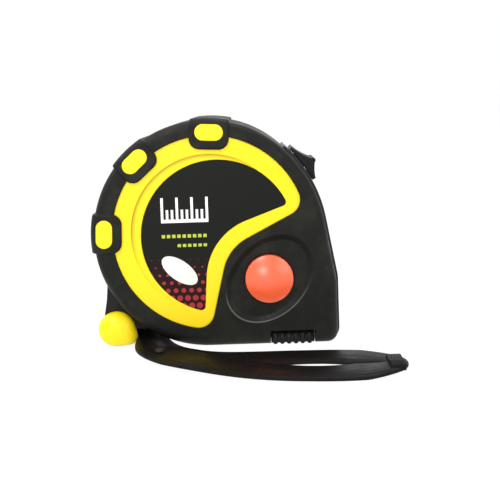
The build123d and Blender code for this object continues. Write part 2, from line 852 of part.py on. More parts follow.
# ---- button guide: pressed steel plate on two posts, which the stem passes and the spring stands on
with BuildPart() as button_guide:
    with BuildSketch(mid.offset(guide_face)) as guide_side:
        with Locations(guide_posts):
            Circle(guide_end_r)
        with Locations(Location((*button_at, 0), guide_turn)):
            Rectangle(2 * guide_post_reach, 2 * guide_end_r)
        with Locations(button_at):
            Circle(guide_waist_r)
            Circle(guide_hole_r, mode=Mode.SUBTRACT)
    extrude(amount=guide_thick)
button_guide.part.label = "button_guide"
export_step(button_guide.part, "parts/button_guide.step")

guide_top = guide_face + guide_thick
button_spring = round_spring(
    button_spring_r,
    button_spring_wire,
    button_spring_turns,
    (button_at[0], -guide_top, button_at[1]),
    (0, -1, 0),
    cup_ceiling - guide_top,
)
button_spring.label = "button_spring"
export_step(button_spring, "parts/button_spring.step")

# ---- drum: open at the back, where its cover snaps on; the power spring winds inside it
with BuildPart() as drum:
    extrude(discs([drum_at], drum_r, drum_half), amount=drum_web - 2 * drum_half)
    hollow = discs([drum_at], drum_r - drum_rim, drum_half - drum_web)
    extrude(hollow, amount=-2 * drum_half, mode=Mode.SUBTRACT)
    extrude(discs([drum_at], drum_hub_r, drum_half), amount=-drum_hub_deep)
    extrude(discs([drum_at], post_r + running_fit, drum_half), amount=-2 * drum_half, mode=Mode.SUBTRACT)
drum.part.label = "drum"
export_step(drum.part, "parts/drum.step")

with BuildPart() as drum_cover:
    extrude(discs([drum_at], drum_r, -drum_half), amount=drum_web)
    extrude(discs([drum_at], post_r + running_fit, -drum_half), amount=drum_web, mode=Mode.SUBTRACT)
drum_cover.part.label = "drum_cover"
export_step(drum_cover.part, "parts/drum_cover.step")

# ---- power spring: flat steel spiral, its inner end bent into the post's slot
with BuildPart() as power_spring:
    last_r = drum_r - drum_rim - running_fit - spring_thick / 2
    grow = (last_r - spring_start_r) / (2 * spring_turns)
    with BuildSketch(mid.offset(-spring_width / 2)) as spiral:
        with BuildLine():
            for side in (-spring_thick / 2, spring_thick / 2):
                for half in range(2 * spring_turns):
                    way = (-1) ** half
                    near = spring_start_r + side + grow * half
                    far = near + grow
                    bulge = (drum_x - way * (near + far) / 2, drum_z)
                    ThreePointArc((drum_x, drum_z + way * near), bulge, (drum_x, drum_z - way * far))
            for end_r in (spring_start_r, last_r):
                Line((drum_x, drum_z + end_r - spring_thick / 2), (drum_x, drum_z + end_r + spring_thick / 2))
        make_face()
        with Locations((drum_x, drum_z + (spring_start_r - spring_tab) / 2)):
            Rectangle(spring_thick, spring_start_r + spring_tab)
    extrude(amount=spring_width)
power_spring.part.label = "power_spring"
export_step(power_spring.part, "parts/power_spring.step")

# ---- wound blade on the drum
with BuildPart() as blade_coil:
    extrude(discs([drum_at], coil_r, blade_width / 2), amount=-blade_width)
    extrude(discs([drum_at], drum_r, blade_width / 2), amount=-blade_width, mode=Mode.SUBTRACT)
blade_coil.part.label = "blade_coil"
export_step(blade_coil.part, "parts/blade_coil.step")

# ---- blade's first stretch: flat where it leaves the coil, cambered by the time it reaches the mouth
with BuildPart() as blade_run:
    flat_start = blade_section(drum_x, blade_low, blade_width, blade_thick, blade_first_rise)
    extrude(flat_start, amount=blade_flat_to - drum_x)
    flat_end = blade_section(blade_flat_to, blade_low, blade_width, blade_thick, blade_first_rise)
    full_start = blade_section(blade_full_at, blade_low, blade_width, blade_thick, blade_camber)
    loft([flat_end, full_start])
    extrude(full_start, amount=blade_end - blade_full_at)
    with Locations((rivet_x, rivet_y, blade_low), (rivet_x, -rivet_y, blade_low)):
        Cylinder(rivet_r + running_fit / 2, 4 * blade_camber, mode=Mode.SUBTRACT)
blade_run.part.label = "blade_run"
export_step(blade_run.part, "parts/blade_run.step")

# ---- end hook: plate on the blade with two short slots, turned down at the tip into a tab with a nail slot
with BuildPart() as end_hook:
    plate = blade_section(hook_tail_x, hook_low, 2 * hook_half, hook_thick, camber(hook_half))
    extrude(plate, amount=hook_face_x - hook_tail_x)
    with BuildSketch(Plane((hook_face_x - hook_thick, 0, 0), x_dir=(0, 1, 0), z_dir=(1, 0, 0))) as tab_face:
        with BuildLine():
            brink = hook_low + camber(hook_half) + hook_thick
            ThreePointArc((-hook_half, brink), (0, hook_low + hook_thick), (hook_half, brink))
            Polyline((hook_half, brink), (hook_half, hook_foot), (-hook_half, hook_foot), (-hook_half, brink))
        make_face()
        fillet(tab_face.vertices().group_by(Axis.Y)[0], hook_corner_r)
        with Locations((0, nail_slot_z)):
            SlotOverall(nail_slot_long, nail_slot_wide, mode=Mode.SUBTRACT)
    extrude(amount=hook_thick)
    slot_mid = rivet_x - hook_play / 2
    with BuildSketch(Plane.XY.offset(hook_low)) as play_slots:
        with Locations((slot_mid, rivet_y), (slot_mid, -rivet_y)):
            SlotCenterToCenter(hook_play, 2 * (rivet_r + running_fit))
    extrude(amount=2 * blade_camber, mode=Mode.SUBTRACT)
end_hook.part.label = "end_hook"
export_step(end_hook.part, "parts/end_hook.step")

with BuildPart() as hook_rivets:
    head_z = hook_low + hook_thick + camber(rivet_y + rivet_head_r) + running_fit
    for side in (-1, 1):
        with Locations((rivet_x, side * rivet_y, blade_low - rivet_head)):
            Cylinder(rivet_head_r, rivet_head, align=(Align.CENTER, Align.CENTER, Align.MIN))
            Cylinder(rivet_r, head_z - blade_low + rivet_head, align=(Align.CENTER, Align.CENTER, Align.MIN))
        with Locations((rivet_x, side * rivet_y, head_z)):
            Cylinder(rivet_head_r, rivet_head, align=(Align.CENTER, Align.CENTER, Align.MIN))
hook_rivets.part.label = "hook_rivets"
export_step(hook_rivets.part, "parts/hook_rivets.step")

# ---- brake lever: ribbed plastic paddle across the base, its neck back to the pin
with BuildPart() as brake_lever:
    rib_pitch = (lever_end - lever_start) / lever_rib_count
    rib_rows = [lever_start + rib_pitch * (row + 0.5) for row in range(lever_rib_count)]
    rib_in = lever_rib_r - lever_rib_proud
    sole_z = lever_foot + lever_rib_proud
    side_y = lever_half - lever_rib_proud
    add(block((lever_start, lever_end), (-side_y, side_y), (sole_z, lever_top)))
    with BuildSketch(mid) as sole_ribs:
        with Locations([(x, sole_z + rib_in) for x in rib_rows]):
            Circle(lever_rib_r)
    extrude(sole_ribs.sketch, amount=side_y, both=True)
    with BuildSketch(Plane.XY.offset(sole_z)) as side_ribs:
        with Locations([(x, side * (side_y - rib_in)) for x in rib_rows for side in (-1, 1)]):
            Circle(lever_rib_r)
    extrude(side_ribs.sketch, amount=lever_top - sole_z)
    add(
        block(
            (pin_x, lever_start + rib_pitch),
            (-lever_neck_half, lever_neck_half),
            (lever_neck_foot, lever_neck_top),
        )
    )
    extrude(discs([(pin_x, pin_z)], pin_eye_r, 0), amount=lever_neck_half, both=True)
    pin_bore = discs([(pin_x, pin_z)], pin_r + running_fit, 0)
    extrude(pin_bore, amount=lever_neck_half, both=True, mode=Mode.SUBTRACT)
brake_lever.part.label = "brake_lever"
export_step(brake_lever.part, "parts/brake_lever.step")

with BuildPart() as brake_shoe:
    shoe_y = (-brake_shoe_half, brake_shoe_half)
    add(block((brake_shoe_start, brake_shoe_end), shoe_y, (lever_top, lever_top + brake_shoe_thick)))
    fillet(brake_shoe.faces().sort_by(Axis.Z)[-1].edges(), bumper_round)
brake_shoe.part.label = "brake_shoe"
export_step(brake_shoe.part, "parts/brake_shoe.step")

with BuildPart() as lever_pin:
    extrude(discs([(pin_x, pin_z)], pin_r, 0), amount=pin_reach, both=True)
lever_pin.part.label = "lever_pin"
export_step(lever_pin.part, "parts/lever_pin.step")

with BuildPart() as lever_springs:
    for side in (-1, 1):
        add(
            round_spring(
                lever_spring_r,
                lever_spring_wire,
                lever_spring_turns,
                (lever_spring_at[0], side * lever_spring_at[1], lever_top),
                (0, 0, 1),
                lever_shelf_z - lever_top,
            )
        )
lever_springs.part.label = "lever_springs"
export_step(lever_springs.part, "parts/lever_springs.step")

# ---- belt clip: one bent steel strip, screwed to the back
with BuildPart() as belt_clip:
    clip_y = ring_face + clip_thick / 2
    far_y = clip_y + clip_stand
    with BuildSketch(Plane.YZ.offset(drum_x - clip_wide / 2)) as clip_side:
        with BuildLine():
            FilletPolyline(
                (clip_y, clip_top),
                (clip_y, clip_shoulder),
                (far_y, clip_shoulder - clip_drop),
                (clip_y + clip_near, clip_foot + clip_lip),
                (far_y, clip_foot),
                radius=clip_bend_r,
            )
            offset(amount=clip_thick / 2, side=Side.BOTH)
        make_face()
    extrude(amount=clip_wide)
    with BuildSketch(mid) as clip_face:
        with Locations((drum_x, (clip_top + clip_foot) / 2)):
            RectangleRounded(clip_wide, clip_top - clip_foot + clip_thick, clip_bend_r)
    extrude(clip_face.sketch, amount=-3 * half_depth, mode=Mode.INTERSECT)
    screw_hole = discs([clip_screw_at], clip_screw_r + screw_play, -ring_face)
    extrude(screw_hole, amount=-clip_thick, mode=Mode.SUBTRACT)
belt_clip.part.label = "belt_clip"
export_step(belt_clip.part, "parts/belt_clip.step")

with BuildPart() as clip_screw:
    clip_back = ring_face + clip_thick
    extrude(discs([clip_screw_at], clip_head_r, -clip_back), amount=-clip_head)
    fillet(clip_screw.faces().sort_by(Axis.Y)[-1].edges(), clip_head / 2)
    clip_shank = discs([clip_screw_at], clip_screw_r, clip_screw_reach - ring_face)
    extrude(clip_shank, amount=-clip_screw_reach - clip_thick)
    with BuildSketch(mid.offset(-clip_back - clip_head)) as clip_drive:
        with Locations(clip_screw_at):
            Rectangle(2 * clip_screw_r, screw_drive)
            Rectangle(screw_drive, 2 * clip_screw_r)
    extrude(clip_drive.sketch, amount=screw_drive, mode=Mode.SUBTRACT)
clip_screw.part.label = "clip_screw"
export_step(clip_screw.part, "parts/clip_screw.step")

# ---- strap pin across the lug, with a domed cap pressed on each end
with BuildPart() as strap_pin:
    extrude(discs([pin_cap_at], strap_pin_r, 0), amount=cheek_outer + cap_socket, both=True)
strap_pin.part.label = "strap_pin"
export_step(strap_pin.part, "parts/strap_pin.step")

with BuildPart() as strap_cap_front:
    with BuildSketch(mid.offset(cheek_outer)) as cap_face:
        with Locations(pin_cap_at, cap_point):
            Circle(cap_point_r)
        with Locations(pin_cap_at):
            Circle(cap_r)
        make_hull()
    extrude(amount=cap_deep)
    fillet(strap_cap_front.faces().sort_by(Axis.Y)[0].edges(), cap_round)
    extrude(discs([pin_cap_at], strap_pin_r, cheek_outer), amount=cap_socket, mode=Mode.SUBTRACT)
strap_cap_front.part.label = "strap_cap_front"
export_step(strap_cap_front.part, "parts/strap_cap_front.step")
strap_cap_rear = mirror(strap_cap_front.part, about=mid)
strap_cap_rear.label = "strap_cap_rear"
export_step(strap_cap_rear, "parts/strap_cap_rear.step")

# ---- wrist strap: from the lug, under the case's belly, along in front of it and back
with BuildPart() as wrist_strap:
    legs = [Vector(*after) - Vector(*before) for before, after in zip(strap_route, strap_route[1:])]
    bends = [
        strap_bend * min(leg.length, after.length) / tan(radians(leg.get_angle(after)) / 2)
        for leg, after in zip(legs, legs[1:])
    ]
    with BuildLine() as strap_path:
        FilletPolyline(*strap_route, radius=bends)
    with BuildSketch(Plane(origin=strap_path.line @ 0, z_dir=strap_path.line % 0)):
        Circle(strap_cord_r)
    sweep(transition=Transition.ROUND)
wrist_strap.part.label = "wrist_strap"
export_step(wrist_strap.part, "parts/wrist_strap.step")

with BuildPart() as strap_rivet:
    with Locations((*strap_rivet_at, strap_route[3][2] + strap_cord_r)):
        Cylinder(strap_rivet_r, strap_rivet_high, align=(Align.CENTER, Align.CENTER, Align.MIN))
strap_rivet.part.label = "strap_rivet"
export_step(strap_rivet.part, "parts/strap_rivet.step")
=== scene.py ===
import math

import bmesh
import bpy
from mathutils import Matrix, Vector


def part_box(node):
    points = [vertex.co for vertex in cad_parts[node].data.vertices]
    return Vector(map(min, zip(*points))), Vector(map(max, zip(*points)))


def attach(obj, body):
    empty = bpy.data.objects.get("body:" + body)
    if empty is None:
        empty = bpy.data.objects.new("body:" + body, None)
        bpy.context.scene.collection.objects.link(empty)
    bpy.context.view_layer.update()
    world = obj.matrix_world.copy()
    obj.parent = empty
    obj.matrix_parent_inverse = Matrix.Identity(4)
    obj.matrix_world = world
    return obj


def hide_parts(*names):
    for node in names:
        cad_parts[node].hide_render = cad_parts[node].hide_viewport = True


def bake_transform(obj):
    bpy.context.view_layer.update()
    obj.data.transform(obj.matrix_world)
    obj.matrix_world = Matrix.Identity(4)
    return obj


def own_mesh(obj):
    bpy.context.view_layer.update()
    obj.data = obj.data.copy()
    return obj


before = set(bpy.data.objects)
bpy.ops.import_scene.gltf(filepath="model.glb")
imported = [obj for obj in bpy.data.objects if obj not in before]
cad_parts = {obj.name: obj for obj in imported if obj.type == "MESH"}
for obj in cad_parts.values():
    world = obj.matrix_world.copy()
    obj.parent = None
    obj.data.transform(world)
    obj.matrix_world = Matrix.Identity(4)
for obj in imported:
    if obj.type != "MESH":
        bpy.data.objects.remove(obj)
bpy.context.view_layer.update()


# ---------------------------------------------------------------- case halves
# Two hollow halves moulded in bright yellow plastic, closed on each other by four screws. They show as the
# ring round the label, the ovals in the grip claws and the round panel on the back.
def feed(tree, socket, value):
    """Give a socket a number, a colour or another node's output."""
    if isinstance(value, bpy.types.NodeSocket):
        tree.links.new(value, socket)
    else:
        socket.default_value = value


def reckon(tree, operation, *values):
    """One Math node; each value may be another node's output."""
    node = tree.nodes.new("ShaderNodeMath")
    node.operation = operation
    for socket, value in zip(node.inputs, values):
        feed(tree, socket, value)
    return node.outputs[0]


def own_place(tree):
    """The place on the piece, in metres."""
    return tree.nodes.new("ShaderNodeTexCoord").outputs["Object"]


def noise(tree, place, scale, detail, roughness=0.5):
    """A cloudy pattern over this place, from 0 to 1."""
    node = tree.nodes.new("ShaderNodeTexNoise")
    for name, value in (("Vector", place), ("Scale", scale), ("Detail", detail), ("Roughness", roughness)):
        feed(tree, node.inputs[name], value)
    return node.outputs["Fac"]


def ranged(tree, value, low, high, to_low=0.0, to_high=1.0, smooth=False):
    """A value moved from one range to another and held inside it."""
    node = tree.nodes.new("ShaderNodeMapRange")
    if smooth:
        node.interpolation_type = "SMOOTHSTEP"
    feed(tree, node.inputs["Value"], value)
    for name, limit in (("From Min", low), ("From Max", high), ("To Min", to_low), ("To Max", to_high)):
        feed(tree, node.inputs[name], limit)
    return node.outputs["Result"]


def mixed(tree, share, under, over):
    """One colour laid over another by a share."""
    node = tree.nodes.new("ShaderNodeMix")
    node.data_type = "RGBA"
    for name, value in (("Factor", share), ("A", under), ("B", over)):
        feed(tree, node.inputs[name], value)
    return node.outputs["Result"]


# Moulded surfaces: a fine grain over a slow unevenness, and rubbed places where hands have polished them.
moulded = bpy.data.node_groups.new("moulded_surface", "ShaderNodeTree")
for label in ("Grain per mm", "Grain depth", "Waviness", "Rubbing", "Roughness"):
    moulded.interface.new_socket(label, in_out="INPUT", socket_type="NodeSocketFloat")
for label in ("Height", "Roughness", "Worn"):
    moulded.interface.new_socket(label, in_out="OUTPUT", socket_type="NodeSocketFloat")
given = moulded.nodes.new("NodeGroupInput").outputs
place = own_place(moulded)
grain_scale = reckon(moulded, "MULTIPLY", given["Grain per mm"], 1000.0)
grain = noise(moulded, place, scale=grain_scale, detail=3.0)
unevenness = noise(moulded, place, scale=90.0, detail=2.0)
hands = noise(moulded, place, scale=160.0, detail=5.0, roughness=0.65)
height = reckon(moulded, "MULTIPLY", grain, given["Grain depth"])
height = reckon(moulded, "MULTIPLY_ADD", unevenness, given["Waviness"], height)
worn = reckon(moulded, "MULTIPLY", ranged(moulded, hands, 0.45, 0.75), given["Rubbing"])
smoother = -0.35
roughness = reckon(moulded, "MULTIPLY_ADD", worn, smoother, given["Roughness"])
roughness.node.use_clamp = True
result = moulded.nodes.new("NodeGroupOutput").inputs
for label, value in (("Height", height), ("Roughness", roughness), ("Worn", worn)):
    feed(moulded, result[label], value)


def colour(red, green, blue):
    """A colour as a paint chart gives it, from 0 to 255, made linear."""
    linear = [v / 3294.6 if v <= 10 else ((v / 255 + 0.055) / 1.055) ** 2.4 for v in (red, green, blue)]
    return (*linear, 1.0)


def new_material(name):
    """A material with its node tree and its shader."""
    material = bpy.data.materials.new(name)
    material.use_nodes = True
    return material, material.node_tree, material.node_tree.nodes["Principled BSDF"]


def finish(material, settings):
    """Set the shader's own sockets."""
    shader = material.node_tree.nodes["Principled BSDF"]
    for socket, value in settings.items():
        shader.inputs[socket].default_value = value


def relief(tree, shader, height, distance):
    """Raise the surface, over the normal that the shader has already."""
    bump = tree.nodes.new("ShaderNodeBump")
    bump.inputs["Distance"].default_value = distance
    feed(tree, bump.inputs["Height"], height)
    for link in shader.inputs["Normal"].links:
        feed(tree, bump.inputs["Normal"], link.from_socket)
    feed(tree, shader.inputs["Normal"], bump.outputs["Normal"])


def moulding(
    name, body, rubbed, roughness, grain=3.0, depth=0.5, waviness=0.3, rubbing=0.3, bump=0.00004, edge=0.0003
):
    """A moulded plastic or rubber with softened edges, which takes the rubbed colour where it is polished."""
    material, tree, shader = new_material(name)
    surface = tree.nodes.new("ShaderNodeGroup")
    surface.node_tree = moulded
    for socket, value in (
        ("Grain per mm", grain),
        ("Grain depth", depth),
        ("Waviness", waviness),
        ("Rubbing", rubbing),
        ("Roughness", roughness),
    ):
        surface.inputs[socket].default_value = value
    softened = tree.nodes.new("ShaderNodeBevel")
    softened.samples = 6
    softened.inputs["Radius"].default_value = edge
    feed(tree, shader.inputs["Base Color"], mixed(tree, surface.outputs["Worn"], body, rubbed))
    feed(tree, shader.inputs["Roughness"], surface.outputs["Roughness"])
    feed(tree, shader.inputs["Normal"], softened.outputs["Normal"])
    relief(tree, shader, surface.outputs["Height"], distance=bump)
    return material


def arc_mask(tree, centre, halves, tilt, toward, line, cosines, face_y):
    """A soft band along an ellipse in the XZ plane, in millimetres, on the side below face_y.

    line fades it in and out, in shares of the ellipse; cosines fade it away from its middle, at toward.
    """
    placed = tree.nodes.new("ShaderNodeMapping")
    placed.vector_type = "TEXTURE"
    placed.inputs["Location"].default_value = (centre[0] / 1000, 0.0, centre[1] / 1000)
    placed.inputs["Rotation"].default_value = (0.0, -tilt, 0.0)
    placed.inputs["Scale"].default_value = (halves[0] / 1000, 0.001, halves[1] / 1000)
    feed(tree, placed.inputs["Vector"], own_place(tree))
    parts = tree.nodes.new("ShaderNodeSeparateXYZ")
    feed(tree, parts.inputs[0], placed.outputs["Vector"])
    across, deep, up = parts.outputs
    square = reckon(tree, "MULTIPLY_ADD", across, across, reckon(tree, "MULTIPLY", up, up))
    radius = reckon(tree, "SQRT", square)
    along = reckon(tree, "MULTIPLY", across, math.cos(toward - tilt))
    along = reckon(tree, "MULTIPLY_ADD", up, math.sin(toward - tilt), along)
    turned = reckon(tree, "DIVIDE", along, radius)
    share = reckon(tree, "LESS_THAN", deep, face_y)
    for value, low, high in ((radius, line[0], line[1]), (radius, line[3], line[2]), (turned, *cosines)):
        share = reckon(tree, "MULTIPLY", share, ranged(tree, value, low, high, smooth=True))
    return share


def shade_over(material, mask, share, tone):
    """Lay another tone over a material's own colour, where the mask is."""
    tree = material.node_tree
    body = tree.nodes["Principled BSDF"].inputs["Base Color"]
    feed(tree, body, mixed(tree, reckon(tree, "MULTIPLY", mask, share), body.links[0].from_socket, tone))


def middle(node):
    """The middle of a CAD node's box, as x and z in millimetres."""
    low, high = (Vector(corner) * 1000 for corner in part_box(node))
    return (low.x + high.x) / 2, (low.z + high.z) / 2


def dress(material, *nodes):
    """Give CAD nodes this material on every slot."""
    for node in nodes:
        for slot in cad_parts[node].material_slots:
            slot.material = material


yellow = moulding(
    "yellow_moulding", colour(250, 220, 20), colour(251, 224, 34), 0.36, grain=2.0, depth=0.25, waviness=0.5
)
finish(yellow, {"Specular IOR Level": 0.25, "Coat Weight": 0.1, "Coat Roughness": 0.25})
# the ring has a shallow step; painted shade darkens its inner side towards the upper left
# marks on the front face lie below front_y
front_y = -12.0
drum_x, drum_z = middle("drum")
step_r = 21.1
painted_step_shade = arc_mask(
    yellow.node_tree,
    centre=(drum_x + 0.8, drum_z + 0.5),
    halves=(step_r, step_r),
    tilt=0.0,
    toward=math.radians(127),
    line=(0.943, 0.99, 1.0, 1.016),
    cosines=(0.15, 0.75),
    face_y=front_y,
)
shade_over(yellow, painted_step_shade, 0.95, colour(206, 176, 26))
dress(yellow, "front_shell", "rear_shell")

# ---------------------------------------------------------------- rubber jackets
# Soft black rubber moulded over each half and round its rim. It carries the grip claws, the finger's recess
# round the button and the lug for the strap.
jacket = moulding(
    "jacket_rubber",
    colour(24, 24, 21),
    colour(42, 42, 37),
    0.5,
    grain=4.0,
    depth=0.6,
    waviness=0.6,
    rubbing=0.7,
    edge=0.0005,
)
finish(jacket, {"Specular IOR Level": 0.13})
# a painted highlight: a thin lighter line along the lower rim of the recess round the button
painted_rim_highlight = arc_mask(
    jacket.node_tree,
    centre=middle("stop_button"),
    halves=(13.5, 10.0),
    tilt=math.radians(45),
    toward=math.radians(-95),
    line=(0.97, 0.985, 0.995, 1.012),
    cosines=(0.05, 0.6),
    face_y=front_y,
)
shade_over(jacket, painted_rim_highlight, 0.9, colour(94, 92, 89))
dress(jacket, "front_jacket", "rear_jacket")

# ---------------------------------------------------------------- drum, power spring and wound blade
# Inside: a nylon drum and its cover on the centre post, the flat steel spring that winds the blade home, and
# the enamelled blade wound on the rim.
nylon = moulding("drum_nylon", colour(62, 62, 60), colour(80, 80, 78), 0.5, grain=2.5, depth=0.4)
dress(nylon, "drum", "drum_cover", "lock_arm")


def metal(name, body, roughness, along=(1.0, 1.0, 1.0)):
    """Bare or plated metal with drawn or tumbled marks that run along one way."""
    material, tree, shader = new_material(name)
    shader.inputs["Metallic"].default_value = 1.0
    stretch = tree.nodes.new("ShaderNodeMapping")
    stretch.inputs["Scale"].default_value = along
    feed(tree, stretch.inputs["Vector"], own_place(tree))
    marks = noise(tree, stretch.outputs["Vector"], scale=900.0, detail=4.0)
    dark, dull = 0.8, 0.25
    shade = (*(dark * part for part in body[:3]), 1.0)
    feed(tree, shader.inputs["Base Color"], mixed(tree, marks, shade, body))
    feed(tree, shader.inputs["Roughness"], ranged(tree, marks, 0.0, 1.0, roughness, roughness + dull))
    relief(tree, shader, marks, distance=0.00001)
    return material


dress(metal("blued_spring_steel", colour(96, 100, 112), 0.25, along=(0.2, 3.0, 1.0)), "power_spring")

# ---------------------------------------------------------------- blade
# Cambered spring-steel strip, enamelled yellow, printed with millimetre ticks on one edge and inch ticks on
# the other. The strip bends off the coil, runs to the mouth and draws out of it with the hook.
blade_paint, tree, shader = new_material("blade_enamel")
finish(blade_paint, {"Roughness": 0.3, "Coat Weight": 0.3})
inch = 0.0254
millimetre_edge, inch_edge = -0.008, 0.008
# pitch along the blade, width of the line, the edge it starts from and how far it runs in
tick_rows = (
    (0.001, 0.00022, millimetre_edge, 0.0026),
    (0.005, 0.00026, millimetre_edge, 0.0038),
    (0.010, 0.00030, millimetre_edge, 0.0054),
    (inch / 16, 0.00022, inch_edge, 0.0024),
    (inch / 4, 0.00026, inch_edge, 0.0038),
    (inch, 0.00030, inch_edge, 0.0066),
)


def ticks(tree, along, across, pitch, width, edge, reach):
    """Printed lines, one each pitch along the blade, that run in from an edge by reach."""
    phase = reckon(tree, "FRACT", reckon(tree, "DIVIDE", along, pitch))
    line = reckon(tree, "LESS_THAN", phase, width / pitch)
    depth = reckon(tree, "ABSOLUTE", reckon(tree, "SUBTRACT", across, edge))
    return reckon(tree, "MULTIPLY", line, reckon(tree, "LESS_THAN", depth, reach))


def either(tree, *masks):
    """One mask that is on where any of these is."""
    total = masks[0]
    for mask in masks[1:]:
        total = reckon(tree, "MAXIMUM", total, mask)
    return total


parts = tree.nodes.new("ShaderNodeSeparateXYZ")
feed(tree, parts.inputs[0], own_place(tree))
along, across = parts.outputs["X"], parts.outputs["Y"]
inked = either(tree, *(ticks(tree, along, across, *row) for row in tick_rows))
feed(tree, shader.inputs["Base Color"], mixed(tree, inked, colour(248, 214, 40), colour(26, 24, 22)))
dress(blade_paint, "blade_coil")


def skin(name, rings, lengths, material):
    """A grid rolled through rings of points and closed, with length and share of a turn as its UV map."""
    sharp_from, join_within = math.radians(50), 0.0000001
    around = len(rings[0])
    shape = bmesh.new()
    bmesh.ops.create_grid(shape, x_segments=around, y_segments=len(rings) - 1, size=1.0)
    uv = shape.loops.layers.uv.new("UVMap")
    for count, corner in enumerate(shape.verts):
        i, j = divmod(count, around + 1)
        corner.co = rings[i][j % around]
        for loop in corner.link_loops:
            loop[uv].uv = (lengths[i], j / around)
    bmesh.ops.remove_doubles(shape, verts=shape.verts, dist=join_within)
    bmesh.ops.holes_fill(shape, edges=shape.edges, sides=around)
    bmesh.ops.recalc_face_normals(shape, faces=shape.faces)
    for face in shape.faces:
        face.smooth = True
    for edge in shape.edges:
        edge.smooth = edge.calc_face_angle(0.0) < sharp_from
    mesh = bpy.data.meshes.new(name)
    shape.to_mesh(mesh)
    shape.free()
    mesh.materials.append(material)
    piece = bpy.data.objects.new(name, mesh)
    bpy.context.collection.objects.link(piece)
    return piece


# The drawn length shows between mouth and hook. This strip takes the short solid strip's place and lies where
# it does, flat at the coil and cambered at the mouth.
run_low, run_high = (Vector(corner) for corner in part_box("blade_run"))
blade_thick = 0.0002
flat_to, full_at = 0.006, 0.020
flat_rise, full_rise = 0.0001, run_high.z - run_low.z - blade_thick
blade_steps, edge_steps = 96, 8


def blade_ring(x):
    """Points round the blade's section: an arc below and the same arc above."""
    rise = flat_rise + (full_rise - flat_rise) * min(1.0, max(0.0, (x - flat_to) / (full_at - flat_to)))
    half = run_high.y
    bend_r = (half**2 + rise**2) / (2 * rise)
    under = []
    for i in range(-edge_steps, edge_steps + 1):
        y = half * i / edge_steps
        under.append(Vector((x, y, run_low.z + bend_r - math.sqrt(bend_r**2 - y**2))))
    return under + [point + Vector((0, 0, blade_thick)) for point in reversed(under)]


blade_long = run_high.x - run_low.x
blade_places = [run_low.x + blade_long * i / blade_steps for i in range(blade_steps + 1)]
blade_rings = [blade_ring(x) for x in blade_places]
blade = skin("blade_strip", blade_rings, [x - run_low.x for x in blade_places], blade_paint)
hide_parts("blade_run")
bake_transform(blade)

# ---------------------------------------------------------------- end hook and rivets
# Nickel-plated steel plate with its tab turned down, slotted so that it slides by its own thickness on the
# rivets that hold it on the blade. The strap's pin has the same plating.
dress(metal("nickel_plate", colour(206, 204, 198), 0.22), "end_hook", "hook_rivets", "strap_pin")

# ---------------------------------------------------------------- nose band and mouth
# One strip of hard black plastic over brow, nose and toe, slotted for the lock and open for the blade, with a
# soft rubber block under the mouth that the hook lands on.
band = moulding(
    "band_plastic", colour(22, 22, 21), colour(40, 39, 37), 0.34, grain=2.0, depth=0.3, waviness=0.4
)
finish(band, {"Specular IOR Level": 0.4})
dress(band, "nose_band")
pad = moulding("pad_rubber", colour(26, 26, 26), colour(44, 44, 44), 0.7, depth=0.8)
dress(pad, "mouth_bumper", "lock_shoe", "stop_pad", "brake_shoe")

# ---------------------------------------------------------------- thumb lock and brake lever
# Black nylon, lightly grained. The lock's ridged pad slides round the brow, and the ribbed lever rocks on a
# pin in the base, against two small springs of steel wire.
lever = moulding(
    "lever_plastic", colour(22, 21, 20), colour(44, 43, 40), 0.42, grain=2.5, depth=0.6, rubbing=0.6
)
finish(lever, {"Specular IOR Level": 0.15})
dress(lever, "thumb_lock")


def merged_copy(node, name, material, body):
    """A piece made from a CAD node's own mesh, with its loose triangles joined, that stands for the node."""
    join_within, sharp_from = 0.000001, math.radians(35)
    shell = bmesh.new()
    shell.from_mesh(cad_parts[node].data)
    bmesh.ops.remove_doubles(shell, verts=shell.verts, dist=join_within)
    data = bpy.data.meshes.new(name)
    shell.to_mesh(data)
    shell.free()
    data.shade_smooth()
    data.set_sharp_from_angle(angle=sharp_from)
    data.materials.append(material)
    piece = bpy.data.objects.new(name, data)
    bpy.context.collection.objects.link(piece)
    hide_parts(node)
    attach(piece, body)
    return piece


# the paddle's ends come closer to the walls of its bay
paddle = merged_copy("brake_lever", "brake_paddle", lever, "brake_lever")
end_within = 0.00002
for paddle_end, stretch in ((0.0150, -0.0002), (0.0261, 0.0004)):
    for corner in paddle.data.vertices:
        if abs(corner.co.x - paddle_end) < end_within:
            corner.co.x += stretch
# the springs over the paddle, which shorten as it rocks up, get a mesh of their own and stay with the case
spring_wire = metal("spring_wire", colour(150, 150, 152), 0.2)
paddle_springs = merged_copy("lever_springs", "paddle_springs", spring_wire, "case")
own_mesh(paddle_springs)

# ---------------------------------------------------------------- stop button
# A domed cap in coral plastic that lets a little light through. It slides in a steel guide plate, and its
# spring pushes it out again.
coral = moulding(
    "coral_plastic", colour(250, 98, 52), colour(251, 112, 68), 0.34, grain=1.5, depth=0.15, waviness=0.2
)
finish(
    coral,
    {
        "Subsurface Weight": 0.25,
        "Subsurface Radius": (1.0, 0.35, 0.15),
        "Subsurface Scale": 0.001,
        "Coat Weight": 0.7,
        "Coat Roughness": 0.26,
    },
)
dress(coral, "stop_button")
button_coil = merged_copy("button_spring", "button_coil", spring_wire, "case")
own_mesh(button_coil)
zinc = metal("zinc_plate", colour(186, 188, 186), 0.3)
dress(zinc, "button_guide", "lever_pin", "case_screws", "clip_screw")

